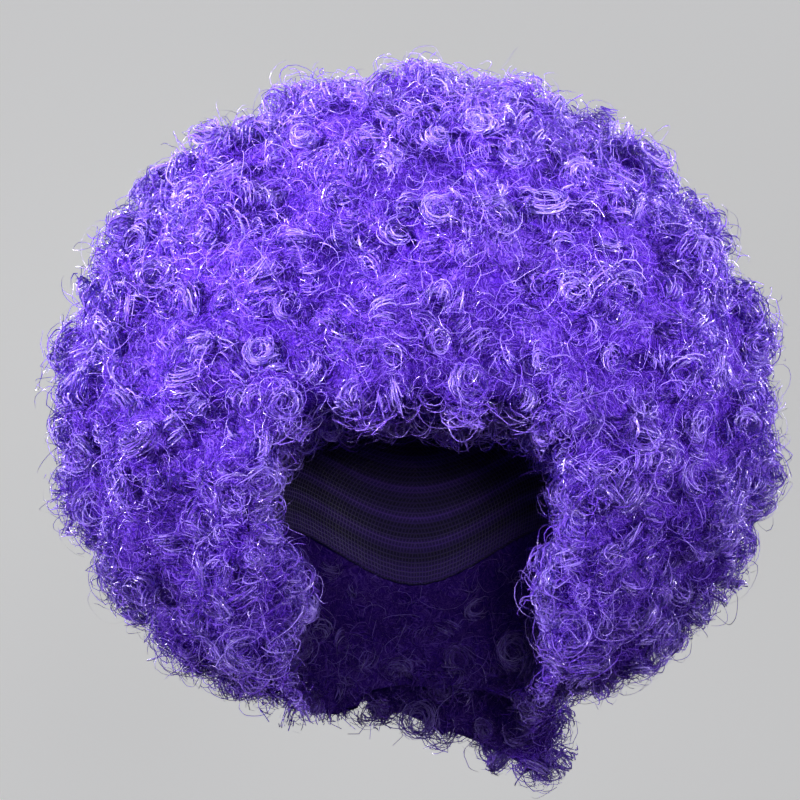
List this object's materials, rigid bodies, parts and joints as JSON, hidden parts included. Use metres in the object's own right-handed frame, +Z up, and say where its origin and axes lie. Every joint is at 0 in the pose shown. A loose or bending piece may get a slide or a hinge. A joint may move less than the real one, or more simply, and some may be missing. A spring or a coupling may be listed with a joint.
{
  "type": "curly wig",
  "caption": "Full round wig of purple curled fibre on a thin stretch cap, open at the face and neck, worn on a head.",
  "frame": {"origin": "inside top of the cap, where it sits on the crown of the head", "axes": "+Z up, -Y forward through the face opening, +X to the wearer's left"},
  "size_m": [0.3534, 0.3397, 0.3581],
  "materials": {
    "net": "dark stretch net",
    "fibre": "satin curled synthetic fibre"
  },
  "bodies": {
    "root": {"cap": "net", "crown_hair": "fibre", "front_hair": "fibre", "left_hair": "fibre", "right_hair": "fibre", "back_hair": "fibre", "nape_hair": "fibre"}
  },
  "joints": []
}
